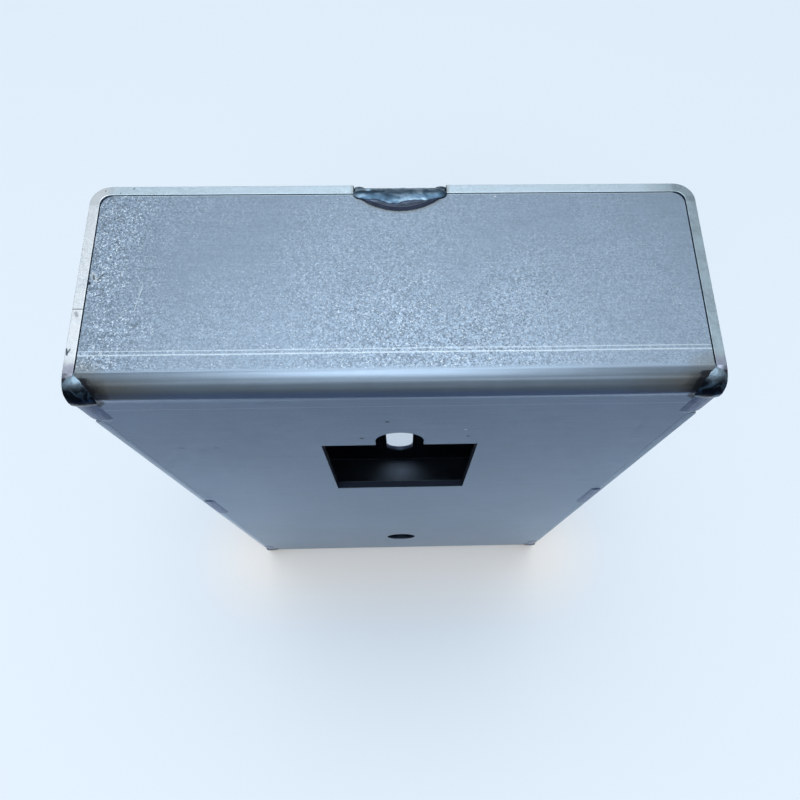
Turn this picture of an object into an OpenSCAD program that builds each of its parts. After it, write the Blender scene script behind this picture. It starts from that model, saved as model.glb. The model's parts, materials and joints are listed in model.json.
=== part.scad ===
// Weld-in steel lock box for a gate: a U-shaped body channel, closed in front and at
// both ends by a folded cover that is set between the flanges and welded there.
// It stands on the crowns of its lower welds, with the front face towards -Y.

/* [Box] */
// Width across the outer faces of the two side flanges
box_w = 120; // [100:1:180]
// Length between the two end faces
box_l = 175; // [150:1:260]
// Depth from the front face to the back face
box_d = 44.5; // [36:0.5:70]
// Thickness of both sheets
sheet_t = 2; // [1.5:0.1:3]
// Inside radius of every bend
bend_r = 2; // [1:0.1:4]

/* [Fit] */
// Clearance between a side flange and the side of an end flap
side_gap = 0.25; // [0.1:0.05:0.6]
// Clearance between the free edge of an end flap and the back
flap_gap = 0.25; // [0.1:0.05:0.6]
// How much larger the flap's free corners are rounded than the bends they clear
corner_ease = 0.5; // [0.2:0.1:2]

/* [Front cut-out] */
// Width of the rectangular cut-out
cut_w = 35.4; // [25:0.1:60]
// Length of the rectangular cut-out
cut_l = 37.4; // [25:0.1:60]
// Distance from the upper end face to the upper edge of the cut-out
cut_below_top = 30.2; // [24:0.1:50]
// Radius of the bolt notch above the cut-out
notch_r = 5.4; // [3:0.1:9]
// Height of the notch's centre above the edge of the cut-out
notch_rise = 2.4; // [0:0.1:6]

/* [Bolt hole and slots] */
// Diameter of the lower bolt hole in the front
bolt_d = 11.2; // [5:0.1:20]
// Height of the lower bolt hole above the lower end face
bolt_above_end = 29.2; // [22:0.1:40]
// Width of the bolt slots in the back
slot_w = 11.5; // [6:0.1:20]
// Length of the bolt slots in the back, from end to end
slot_l = 31; // [22:0.5:36]

/* [Latch hole] */
// Diameter of the hole for the latch in the right flange
latch_d = 25.4; // [16:0.1:28]

/* [Welds] */
// Height that every weld stands proud of the face it is laid on
crown = 0.5; // [0.2:0.05:1]
// Depth to which the welds run into the seams
root = 1; // [0.5:0.1:1.4]

/* [End welds] */
// Width of the weld in the middle of each end
end_weld_w = 18.4; // [10:0.1:40]
// Distance from the back face to the weld's highest line
end_weld_ridge = 2.9; // [2.2:0.1:5]
// Distance that the weld reaches forward from the back face
end_weld_reach = 6.2; // [5:0.1:9]
// Sideways shift of the weld from the middle
end_weld_shift = 0.9; // [-5:0.1:5]
// Depth to which the outer edge of the back has sunk under the weld
end_weld_sink = 0.6; // [0.3:0.05:0.9]

/* [Corner welds] */
// Radius of the weld bead on each corner
corner_weld_r = 3.7; // [3.5:0.1:4.5]
// Distance of the bead's centre from the outer face of the flange
corner_weld_in = 2.35; // [2:0.05:4]

/* [Seam welds] */
// Length of the seam weld below each corner
seam_weld_l = 13.5; // [9:0.1:30]
// Radius of the bead's rounded section
seam_weld_r = 3.4; // [3:0.1:5]
// Distance of the bead's highest line from the outer face of the flange
seam_weld_in = 2.6; // [2.2:0.1:3.5]

/* [Middle welds] */
// Length of the weld half-way along each front seam
mid_weld_l = 18; // [8:0.5:30]
// Width of the weld half-way along each front seam
mid_weld_w = 3.8; // [2:0.1:6]
// Height of the left middle weld above the middle of the box
mid_left_rise = 0; // [-20:0.5:20]
// Height of the right middle weld above the middle of the box
mid_right_rise = 6.5; // [-20:0.5:20]

/* [Hidden] */
$fn = 64;
// Overlap that keeps a cut from sharing a face with what it cuts
eps = 0.01;
// Outside radius of every bend
bend_out = bend_r + sheet_t;
// Radius on the free corners of the end flaps, which clears the bends of the channel
flap_corner_r = bend_r + corner_ease;
// The front and back planes, centred with the proud welds in front
front_y = -(box_d - crown) / 2;
back_y = front_y + box_d;
// The end planes, above the crowns that the box stands on
base_z = crown;
top_z = base_z + box_l;
mid_z = base_z + box_l / 2;
// Inner face of the back, and inner faces of the flanges, which the cover's front meets
web_y = back_y - sheet_t;
flange_x = box_w / 2 - sheet_t;
// Sides of the end flaps, which are cut back from half-way round their bends
flap_x = flange_x - side_gap;
flap_side_y = front_y + bend_out / 2;
// Free edge of the end flaps
flap_y = web_y - flap_gap;
// Upper and lower edge of the cut-out, and the centre of the bolt notch above it
cut_top_z = top_z - cut_below_top;
cut_low_z = cut_top_z - cut_l;
notch_z = cut_top_z + notch_rise;
// Lower bolt hole, the slots opposite both bolts, and the latch opposite the cut-out
bolt_z = base_z + bolt_above_end;
latch_z = (cut_top_z + cut_low_z) / 2;
latch_y = (front_y + back_y) / 2;
// Radius of the end weld across its ridge: it drops by crown and sink at the back face
end_weld_drop = crown + end_weld_sink;
end_weld_r = (end_weld_ridge * end_weld_ridge + end_weld_drop * end_weld_drop)
    / (2 * end_weld_drop);
// Radius of the end weld along its ridge, which falls off by a third of the crown
end_weld_fall = crown / 3;
end_weld_long_r = (end_weld_w * end_weld_w / 4 + end_weld_fall * end_weld_fall)
    / (2 * end_weld_fall);
// Radius of the weld's rounded outline over the flap, between its two straight sides
end_weld_sag = end_weld_reach - sheet_t;
end_weld_plan_r = (end_weld_w * end_weld_w / 4 + end_weld_sag * end_weld_sag)
    / (2 * end_weld_sag);
// Distance of a corner ball's centre from the end plane: level with the bend's own centre,
// unless the ball would then stand above the other crowns
corner_weld_drop = max(bend_out, corner_weld_r - crown);
// Half the width of a corner's seam bead at the depth of its root, where its end is rounded
seam_end_r = sqrt(pow(seam_weld_r, 2) - pow(seam_weld_r - crown - root, 2));
// Radius of the shallow bead that lies over the middle of a front seam
mid_weld_r = (mid_weld_w * mid_weld_w / 4 + crown * crown) / (2 * crown);

// Outline of a folded sheet's outside: across X, from y = 0 to the bends at y = depth
module fold_outline(across, depth, r) {
    translate([-across / 2, 0])
        square([across, depth - r]);
    translate([r - across / 2, 0])
        square([across - 2 * r, depth]);
    for (side = [-1, 1])
        translate([side * (across / 2 - r), depth - r])
            circle(r);
}

// Section of a sheet folded into a U, open at y = 0
module fold_section(across, depth) {
    difference() {
        fold_outline(across, depth, bend_out);
        translate([0, -eps])
            fold_outline(across - 2 * sheet_t, depth - sheet_t + eps, bend_r);
    }
}

// What is cut off a square corner at the origin to round it, for a solid at +X and +Y
module corner_waste(r) {
    difference() {
        translate([-1, -1])
            square(r + 1);
        translate([r, r])
            circle(r);
    }
}

// Turns a section drawn over length and depth into a bar of that section across the box
module across_box(half_width) {
    translate([0, flap_y, mid_z])
        rotate([90, 0, 90])
            linear_extrude(2 * half_width, center = true)
                rotate(90)
                    children();
}

// Puts a child made for the upper end at both ends
module both_ends() {
    children();
    translate([0, 0, 2 * mid_z])
        mirror([0, 0, 1])
            children();
}

// Puts a child made for the left at both sides
module both_sides() {
    children();
    mirror([1, 0, 0])
        children();
}

// The folded cover, tight between the flanges in front, before any hole or corner is cut
module cover_blank() {
    difference() {
        across_box(flange_x)
            fold_section(box_l, flap_y - front_y);
        both_ends()
            both_sides()
                translate([-flange_x - 1, flap_side_y, top_z - bend_out])
                    cube([side_gap + 1, box_d, bend_out + 1]);
    }
}

// The inside of the box and of its seams below the weld roots, where no weld reaches
module below_roots() {
    across_box(flange_x)
        fold_outline(box_l - 2 * root, flap_y - front_y - root, bend_out - root);
}

// Rectangle with a round-topped bolt notch, cut through the front
module front_cut() {
    translate([-cut_w / 2, front_y - 1, cut_low_z])
        cube([cut_w, sheet_t + 2, cut_l]);
    translate([-notch_r, front_y - 1, cut_top_z - 1])
        cube([2 * notch_r, sheet_t + 2, notch_rise + 1]);
    through_front(notch_z, notch_r);
}

// Round hole through the front
module through_front(z, r) {
    translate([0, front_y - 1, z])
        rotate([-90, 0, 0])
            cylinder(sheet_t + 2, r, r);
}

// Rounds the two free corners of the upper end flap
module flap_corner_cuts() {
    both_sides()
        translate([-flap_x, flap_y, top_z - bend_out])
            mirror([0, 1, 0])
                linear_extrude(bend_out + 1)
                    corner_waste(flap_corner_r);
}

module cover() {
    color("lightslategray")
        difference() {
            cover_blank();
            front_cut();
            through_front(bolt_z, bolt_d / 2);
            both_ends()
                flap_corner_cuts();
        }
}

// Upright slot through the back, centred on a bolt
module back_slot(z) {
    for (end = [-1, 1])
        translate([0, web_y - 1, z + end * (slot_l - slot_w) / 2])
            rotate([-90, 0, 0])
                cylinder(sheet_t + 2, slot_w / 2, slot_w / 2);
    translate([-slot_w / 2, web_y - 1, z - (slot_l - slot_w) / 2])
        cube([slot_w, sheet_t + 2, slot_l - slot_w]);
}

// What the welds have melted off the left flange at the upper end: its corner, down to
// the round of the cover's bend beside it, and its front edge along the seam
module flange_melt() {
    translate([-box_w / 2 - 1, front_y, top_z])
        rotate([90, 0, 90])
            linear_extrude(sheet_t + 1 + eps)
                mirror([0, 1])
                    corner_waste(bend_out);
    translate([-box_w / 2 - 1, front_y - 1, top_z - seam_weld_l])
        cube([sheet_t + 1 + eps, 1 + root, seam_weld_l - bend_out]);
}

// What the end weld has melted off the upper edge of the back
module web_melt() {
    translate([end_weld_shift - end_weld_w / 2, web_y - eps, top_z - root])
        cube([end_weld_w, sheet_t + 1, root + 1]);
}

// The channel as it stands under the welds, without its holes
module channel_blank() {
    difference() {
        translate([0, front_y, base_z])
            linear_extrude(box_l)
                fold_section(box_w, box_d);
        both_ends() {
            both_sides()
                flange_melt();
            web_melt();
        }
    }
}

module body_channel() {
    color("slategray")
        difference() {
            channel_blank();
            back_slot(bolt_z);
            back_slot(notch_z);
            translate([flange_x - 1, latch_y, latch_z])
                rotate([0, 90, 0])
                    cylinder(sheet_t + 2, latch_d / 2, latch_d / 2);
        }
}

// Leaves of a weld only what lies on the sheets and in the seams between them
module laid_on_sheets() {
    difference() {
        children();
        below_roots();
        cover_blank();
        channel_blank();
    }
}

// D-shaped weld between the back's edge and the flap, made for the upper end
module end_weld() {
    intersection() {
        // straight sides over the back's edge, and a round outline over the flap
        translate([end_weld_shift - end_weld_w / 2, back_y - end_weld_reach, top_z - root])
            cube([end_weld_w, end_weld_reach, root + crown + 1]);
        translate([end_weld_shift, back_y - end_weld_reach + end_weld_plan_r, top_z - root])
            cylinder(root + crown + 1, end_weld_plan_r, end_weld_plan_r, $fn = 128);
        // rounded across the ridge
        translate([end_weld_shift, back_y - end_weld_ridge, top_z + crown - end_weld_r])
            rotate([0, 90, 0])
                cylinder(end_weld_w + 2, end_weld_r, end_weld_r, center = true);
        // and falling off gently along it
        translate([end_weld_shift, back_y, top_z + crown - end_weld_long_r])
            rotate([90, 0, 0])
                cylinder(end_weld_reach + 1, end_weld_long_r, end_weld_long_r, $fn = 256);
    }
}

// The ball of weld metal that has run round the bend at the upper left corner, as far as
// it stands proud of the bend and of the flange's corner, and no wider than the box
module corner_weld() {
    $fn = 128;
    difference() {
        intersection() {
            translate([-box_w / 2 + corner_weld_in, front_y + corner_weld_r - crown,
                       top_z - corner_weld_drop])
                sphere(corner_weld_r);
            translate([-box_w / 2, front_y - crown - 1, top_z - 3 * corner_weld_r])
                cube([3 * corner_weld_r, 3 * corner_weld_r, 3 * corner_weld_r + crown + 1]);
        }
        across_box(box_w / 2 + 1)
            fold_outline(box_l, flap_y - front_y, bend_out);
    }
}

// Bead with a round lower end down the front seam from the corner ball, for the upper left
module seam_weld() {
    low = top_z - seam_weld_l;
    high = top_z - bend_out;
    difference() {
        intersection() {
            translate([-box_w / 2 + seam_weld_in, front_y - crown + seam_weld_r, low + seam_end_r]) {
                cylinder(high - low - seam_end_r, seam_weld_r, seam_weld_r);
                sphere(seam_weld_r);
            }
            translate([-box_w / 2, front_y - crown - 1, low])
                cube([3 * seam_weld_r, crown + 1 + root, high - low]);
        }
        corner_weld();
    }
}

// Shallow bead with round ends over the left front seam, about the middle of the box
module mid_weld(rise) {
    straight_l = mid_weld_l - mid_weld_w;
    intersection() {
        translate([-flange_x, front_y - crown + mid_weld_r, mid_z + rise]) {
            cylinder(straight_l, mid_weld_r, mid_weld_r, center = true);
            for (end = [-1, 1])
                translate([0, 0, end * straight_l / 2])
                    sphere(mid_weld_r);
        }
        translate([-flange_x - mid_weld_w / 2, front_y - crown - 1, mid_z + rise - mid_weld_l / 2])
            cube([mid_weld_w, crown + 1, mid_weld_l]);
    }
}

// Turns a child made for the upper left into one of the four corners' own
module at_corner(right, bottom) {
    translate([0, 0, bottom ? 2 * mid_z : 0])
        mirror([0, 0, bottom ? 1 : 0])
            mirror([right ? 1 : 0, 0, 0])
                children();
}

module weld_end_top() {
    color("steelblue")
        laid_on_sheets()
            end_weld();
}

module weld_end_bottom() {
    color("steelblue")
        laid_on_sheets()
            at_corner(false, true)
                end_weld();
}

module weld_corner(right, bottom) {
    color("midnightblue")
        at_corner(right, bottom)
            corner_weld();
}

module weld_seam(right, bottom) {
    color("steelblue")
        laid_on_sheets()
            at_corner(right, bottom)
                seam_weld();
}

module weld_mid_left() {
    color("steelblue")
        mid_weld(mid_left_rise);
}

module weld_mid_right() {
    color("steelblue")
        at_corner(true, false)
            mid_weld(mid_right_rise);
}

body_channel();
cover();
weld_end_top();
weld_end_bottom();
weld_corner(false, false);  // weld_corner_top_left
weld_corner(true, false);  // weld_corner_top_right
weld_corner(false, true);  // weld_corner_bottom_left
weld_corner(true, true);  // weld_corner_bottom_right
weld_seam(false, false);  // weld_seam_top_left
weld_seam(true, false);  // weld_seam_top_right
weld_seam(false, true);  // weld_seam_bottom_left
weld_seam(true, true);  // weld_seam_bottom_right
weld_mid_left();
weld_mid_right();
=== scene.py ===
"""Looks of a welded steel gate lock box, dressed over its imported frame.

The frame holds the two folded sheets and the twelve welds at their real size and place.
This script gives the sheets their bare steel, models every weld as the rippled bead of
metal that it is, and adds a plain studio with the camera at the photograph's angle.
"""

import json
import logging
import math
from abc import ABC, abstractmethod
from dataclasses import dataclass, field
from enum import Enum
from typing import Any, Optional, Sequence, Union

import bpy
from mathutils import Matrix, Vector

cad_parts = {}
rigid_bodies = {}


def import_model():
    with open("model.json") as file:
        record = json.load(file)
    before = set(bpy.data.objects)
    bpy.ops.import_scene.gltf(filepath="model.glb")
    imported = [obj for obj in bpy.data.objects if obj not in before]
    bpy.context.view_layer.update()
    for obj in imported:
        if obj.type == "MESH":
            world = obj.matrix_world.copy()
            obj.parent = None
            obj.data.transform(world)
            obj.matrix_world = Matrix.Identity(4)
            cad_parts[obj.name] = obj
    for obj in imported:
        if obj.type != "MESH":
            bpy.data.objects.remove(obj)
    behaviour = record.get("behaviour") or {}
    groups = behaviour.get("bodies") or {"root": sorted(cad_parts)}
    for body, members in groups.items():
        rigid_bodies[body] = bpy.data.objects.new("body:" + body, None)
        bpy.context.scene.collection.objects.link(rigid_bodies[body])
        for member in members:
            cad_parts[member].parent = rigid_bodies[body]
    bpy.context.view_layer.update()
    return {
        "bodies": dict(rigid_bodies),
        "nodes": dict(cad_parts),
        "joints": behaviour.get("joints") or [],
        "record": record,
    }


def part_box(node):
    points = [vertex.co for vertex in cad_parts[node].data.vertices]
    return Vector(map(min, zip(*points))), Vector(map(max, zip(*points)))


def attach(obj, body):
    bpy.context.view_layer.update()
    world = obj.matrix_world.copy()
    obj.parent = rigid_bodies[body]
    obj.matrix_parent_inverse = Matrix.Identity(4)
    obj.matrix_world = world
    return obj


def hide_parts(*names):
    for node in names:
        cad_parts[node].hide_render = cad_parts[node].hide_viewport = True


LOG = logging.getLogger("lock_box")
MM = 0.001
BODY = "root"

Colour = tuple[float, float, float]
Place = tuple[float, float, float]
Span = tuple[float, float]
Value = Union[float, Sequence[float], bpy.types.NodeSocket]

MARK_DARK: Colour = (0.035, 0.042, 0.055)
MARK_BRIGHT: Colour = (0.62, 0.70, 0.76)


class Side(Enum):
    """The two sides of the box, with their sign along X."""

    LEFT = -1
    RIGHT = 1


class End(Enum):
    """The two ends of the box, with their sign along Z."""

    TOP = 1
    BOTTOM = -1


@dataclass(frozen=True)
class BoxForm:
    """The box's own planes in millimetres, read from the frame."""

    half_width: float
    front_y: float
    back_y: float
    low_z: float
    high_z: float
    cover_x: float
    flap_y: float
    sheet_t: float = 2.0
    bend_out: float = 4.0

    @classmethod
    def from_frame(cls) -> "BoxForm":
        """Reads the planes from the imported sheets.

        Returns:
            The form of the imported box.
        """
        low, high = (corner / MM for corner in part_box("body_channel"))
        _, cover_high = (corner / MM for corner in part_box("cover"))
        return cls(
            half_width=high.x,
            front_y=low.y,
            back_y=high.y,
            low_z=low.z,
            high_z=high.z,
            cover_x=cover_high.x,
            flap_y=cover_high.y,
        )

    @property
    def mid_z(self) -> float:
        """Height of the middle of the box."""
        return (self.low_z + self.high_z) / 2

    @property
    def half_length(self) -> float:
        """Half the distance between the end faces."""
        return (self.high_z - self.low_z) / 2


class Bench:
    """Mesh work with Blender's own operators, on pieces in millimetres until they are settled."""

    @staticmethod
    def alone(piece: bpy.types.Object) -> None:
        """Deselects everything and makes a piece the active, selected one.

        Args:
            piece: The object to work on.
        """
        bpy.ops.object.select_all(action="DESELECT")
        piece.select_set(True)
        bpy.context.view_layer.objects.active = piece

    @staticmethod
    def ball(centre: Sequence[float], radii: Sequence[float]) -> bpy.types.Object:
        """Adds a sphere stretched to three radii.

        Args:
            centre: Its centre.
            radii: Its radii along X, Y and Z.

        Returns:
            The new object, with its place and size in its mesh.
        """
        bpy.ops.object.select_all(action="DESELECT")
        bpy.ops.mesh.primitive_uv_sphere_add(segments=48, ring_count=24, location=centre, scale=radii)
        bpy.ops.object.transform_apply()
        return bpy.context.object

    @staticmethod
    def rod(start: Sequence[float], length: float, radius: float) -> bpy.types.Object:
        """Adds an upright cylinder.

        Args:
            start: The centre of its lower end.
            length: Its length along Z.
            radius: Its radius.

        Returns:
            The new object, with its place in its mesh.
        """
        bpy.ops.object.select_all(action="DESELECT")
        centre = Vector(start) + Vector((0, 0, length / 2))
        bpy.ops.mesh.primitive_cylinder_add(vertices=64, radius=radius, depth=length, location=centre)
        bpy.ops.object.transform_apply()
        return bpy.context.object

    @staticmethod
    def block(low: Sequence[float], high: Sequence[float]) -> bpy.types.Object:
        """Adds a box between two corners.

        Args:
            low: Its lowest corner.
            high: Its highest corner.

        Returns:
            The new object, with its place and size in its mesh.
        """
        bpy.ops.object.select_all(action="DESELECT")
        centre = (Vector(low) + Vector(high)) / 2
        bpy.ops.mesh.primitive_cube_add(size=1, location=centre, scale=Vector(high) - Vector(low))
        bpy.ops.object.transform_apply()
        return bpy.context.object

    @classmethod
    def cut(cls, piece: bpy.types.Object, point: Sequence[float], outward: Sequence[float]) -> None:
        """Cuts off what lies outside a plane and closes the cut.

        Args:
            piece: The object to cut.
            point: A point on the plane.
            outward: The plane's normal, on the side that is cut off.
        """
        cls.alone(piece)
        bpy.ops.object.mode_set(mode="EDIT")
        bpy.ops.mesh.select_all(action="SELECT")
        bpy.ops.mesh.bisect(plane_co=point, plane_no=outward, use_fill=True, clear_outer=True)
        bpy.ops.object.mode_set(mode="OBJECT")

    @classmethod
    def modify(cls, piece: bpy.types.Object, kind: str, **settings: Any) -> None:
        """Adds a modifier and applies it.

        Args:
            piece: The object to change.
            kind: The modifier's type.
            **settings: The modifier's own settings.
        """
        cls.alone(piece)
        modifier = piece.modifiers.new(kind.lower(), kind)
        for name, value in settings.items():
            setattr(modifier, name, value)
        bpy.ops.object.modifier_apply(modifier=modifier.name)

    @classmethod
    def take_away(cls, piece: bpy.types.Object, tool: bpy.types.Object) -> None:
        """Subtracts a tool from a piece and deletes the tool.

        Args:
            piece: The object that stays.
            tool: The object that is cut out of it.
        """
        cls.modify(piece, "BOOLEAN", operation="DIFFERENCE", solver="EXACT", object=tool)
        bpy.data.objects.remove(tool)

    @classmethod
    def join(cls, pieces: Sequence[bpy.types.Object]) -> bpy.types.Object:
        """Joins several objects into the first.

        Args:
            pieces: The objects to join.

        Returns:
            The first object, which now holds all the meshes.
        """
        cls.alone(pieces[0])
        for piece in pieces[1:]:
            piece.select_set(True)
        bpy.ops.object.join()
        return pieces[0]

    @classmethod
    def mirror(cls, piece: bpy.types.Object, side: Side, end: End, mid_z: float) -> None:
        """Turns a piece that was made at the upper left into one at another corner.

        Args:
            piece: The object, made at the upper left.
            side: The side where it belongs.
            end: The end where it belongs.
            mid_z: Height of the plane between the two ends.
        """
        flips = (-1 if side is Side.RIGHT else 1, 1, end.value)
        cls.alone(piece)
        bpy.ops.object.mode_set(mode="EDIT")
        bpy.ops.mesh.select_all(action="SELECT")
        bpy.ops.transform.resize(value=flips, center_override=(0, 0, mid_z))
        bpy.ops.mesh.normals_make_consistent(inside=False)
        bpy.ops.object.mode_set(mode="OBJECT")

    @classmethod
    def settle(cls, piece: bpy.types.Object, name: str) -> None:
        """Brings a finished piece from millimetres to metres, smooth and named.

        Args:
            piece: The finished object.
            name: Its name in the model.
        """
        cls.alone(piece)
        piece.scale = (MM, MM, MM)
        bpy.ops.object.transform_apply(location=True, rotation=True, scale=True)
        bpy.ops.object.shade_smooth()
        piece.name = name
        piece.data.name = name


class NodeWriter:
    """Writes the nodes of one material or world, from values that are sockets or plain numbers."""

    def __init__(self, tree: bpy.types.NodeTree) -> None:
        """Starts an empty tree.

        Args:
            tree: The node tree to fill.
        """
        self.tree = tree
        tree.nodes.clear()

    def feed(self, socket: bpy.types.NodeSocket, value: Value) -> None:
        """Links a socket, or sets its own value.

        Args:
            socket: The input to feed.
            value: An output socket, or a number or colour.
        """
        if isinstance(value, bpy.types.NodeSocket):
            self.tree.links.new(value, socket)
        else:
            socket.default_value = value

    def add(self, kind: str, inputs: Optional[dict[Any, Value]] = None, **settings: Any) -> bpy.types.Node:
        """Adds one node.

        Args:
            kind: The node's type.
            inputs: Its inputs by name or place, each with its value.
            **settings: The node's own settings.

        Returns:
            The new node.
        """
        node = self.tree.nodes.new(kind)
        for name, value in settings.items():
            setattr(node, name, value)
        for key, value in (inputs or {}).items():
            self.feed(node.inputs[key], value)
        return node

    def math(self, operation: str, *values: Value, clamp: bool = False) -> bpy.types.NodeSocket:
        """Works out one sum.

        Args:
            operation: The Math node's operation.
            *values: Its inputs in order.
            clamp: Whether the result is kept between 0 and 1.

        Returns:
            The result.
        """
        inputs = dict(enumerate(values))
        return self.add("ShaderNodeMath", inputs, operation=operation, use_clamp=clamp).outputs[0]

    def vector(self, operation: str, *values: Value) -> bpy.types.NodeSocket:
        """Works out one sum of vectors.

        Args:
            operation: The Vector Math node's operation.
            *values: Its inputs in order.

        Returns:
            The resulting vector, or the number for LENGTH, DISTANCE and DOT_PRODUCT.
        """
        node = self.add("ShaderNodeVectorMath", dict(enumerate(values)), operation=operation)
        scalar = operation in {"LENGTH", "DISTANCE", "DOT_PRODUCT"}
        return node.outputs["Value" if scalar else "Vector"]

    def place(self) -> bpy.types.NodeSocket:
        """Gives the place on the piece in millimetres."""
        metres = self.add("ShaderNodeTexCoord").outputs["Object"]
        node = self.add("ShaderNodeVectorMath", {0: metres, "Scale": 1 / MM}, operation="SCALE")
        return node.outputs["Vector"]

    def parts(self, vector: Value) -> tuple[bpy.types.NodeSocket, ...]:
        """Gives the X, Y and Z of a vector."""
        return tuple(self.add("ShaderNodeSeparateXYZ", {0: vector}).outputs)

    def point(self, x: Value, y: Value, z: Value) -> bpy.types.NodeSocket:
        """Puts a vector together from X, Y and Z."""
        return self.add("ShaderNodeCombineXYZ", {0: x, 1: y, 2: z}).outputs[0]

    def from_mid(self, place: Value, form: BoxForm) -> bpy.types.NodeSocket:
        """Gives the height above or below the middle of the box, in millimetres."""
        height = self.parts(place)[2]
        return self.math("ABSOLUTE", self.math("SUBTRACT", height, form.mid_z))

    def noise(
        self, where: Value, size: float, detail: float = 2.0, roughness: float = 0.5, distortion: float = 0.0
    ) -> bpy.types.NodeSocket:
        """Gives smooth noise from 0 to 1.

        Args:
            where: The place in millimetres.
            size: The size of its blotches in millimetres.
            detail: How many finer layers it has.
            roughness: How strong the finer layers are.
            distortion: How much it is twisted.

        Returns:
            The noise.
        """
        inputs = {
            "Vector": where,
            "Scale": 1 / size,
            "Detail": detail,
            "Roughness": roughness,
            "Distortion": distortion,
        }
        return self.add("ShaderNodeTexNoise", inputs).outputs[0]

    def cells(self, where: Value, size: float, output: str) -> bpy.types.NodeSocket:
        """Gives the cells of a Voronoi pattern.

        Args:
            where: The place in millimetres.
            size: The size of a cell in millimetres.
            output: Distance or Color.

        Returns:
            The output asked for.
        """
        return self.add("ShaderNodeTexVoronoi", {"Vector": where, "Scale": 1 / size}).outputs[output]

    def ease(self, value: Value, start: float, stop: float) -> bpy.types.NodeSocket:
        """Rises smoothly from 0 at start to 1 at stop, or falls where stop is the lower one.

        Args:
            value: The value to look at.
            start: Where the result is 0.
            stop: Where the result is 1.

        Returns:
            The eased value.
        """
        low, high = (0.0, 1.0) if start < stop else (1.0, 0.0)
        inputs = {0: value, 1: min(start, stop), 2: max(start, stop), 3: low, 4: high}
        return self.add("ShaderNodeMapRange", inputs, interpolation_type="SMOOTHSTEP").outputs[0]

    def line(self, value: Value, centre: float, width: float) -> bpy.types.NodeSocket:
        """Gives 1 on a soft line and 0 beside it.

        Args:
            value: The value across the line.
            centre: Where the line lies.
            width: The width over which it fades in and out.

        Returns:
            The line's strength.
        """
        away = self.math("ABSOLUTE", self.math("SUBTRACT", value, centre))
        return self.ease(away, width / 2, 0.0)

    def blend(self, factor: Value, first: Value, second: Value) -> bpy.types.NodeSocket:
        """Mixes two colours.

        Args:
            factor: 0 for the first and 1 for the second.
            first: The first colour.
            second: The second colour.

        Returns:
            The mixed colour.
        """
        node = self.add("ShaderNodeMix", {0: factor, 6: self.solid(first), 7: self.solid(second)},
                        data_type="RGBA")
        return node.outputs[2]

    @staticmethod
    def solid(colour: Value) -> Value:
        """Gives a plain colour its opaque fourth number."""
        if isinstance(colour, bpy.types.NodeSocket):
            return colour
        return (*colour, 1.0)

    def shade(self, colour: Value, strength: Value) -> bpy.types.NodeSocket:
        """Multiplies a colour by a number."""
        node = self.add("ShaderNodeVectorMath", {0: colour, "Scale": strength}, operation="SCALE")
        return node.outputs["Vector"]

    def metal(self, colour: Value, roughness: Value, normal: Value) -> None:
        """Ends a material with a bare metal surface.

        Args:
            colour: Its base colour.
            roughness: Its roughness.
            normal: Its normal.
        """
        shader = self.add("ShaderNodeBsdfPrincipled", {
            "Base Color": colour,
            "Metallic": 1.0,
            "Roughness": roughness,
            "Normal": normal,
        })
        self.add("ShaderNodeOutputMaterial", {"Surface": shader.outputs[0]})

    def bump(self, height: Value, depth: float, strength: float = 1.0,
             normal: Optional[Value] = None) -> bpy.types.NodeSocket:
        """Turns a height from 0 to 1 into a bumped normal.

        Args:
            height: The height from 0 to 1.
            depth: What a height of 1 is in millimetres.
            strength: How much of the bump shows.
            normal: The normal that is bumped, if it isn't the surface's own.

        Returns:
            The bumped normal.
        """
        inputs: dict[Any, Value] = {"Height": height, "Distance": depth * MM, "Strength": strength}
        if normal is not None:
            inputs["Normal"] = normal
        return self.add("ShaderNodeBump", inputs).outputs[0]


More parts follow.
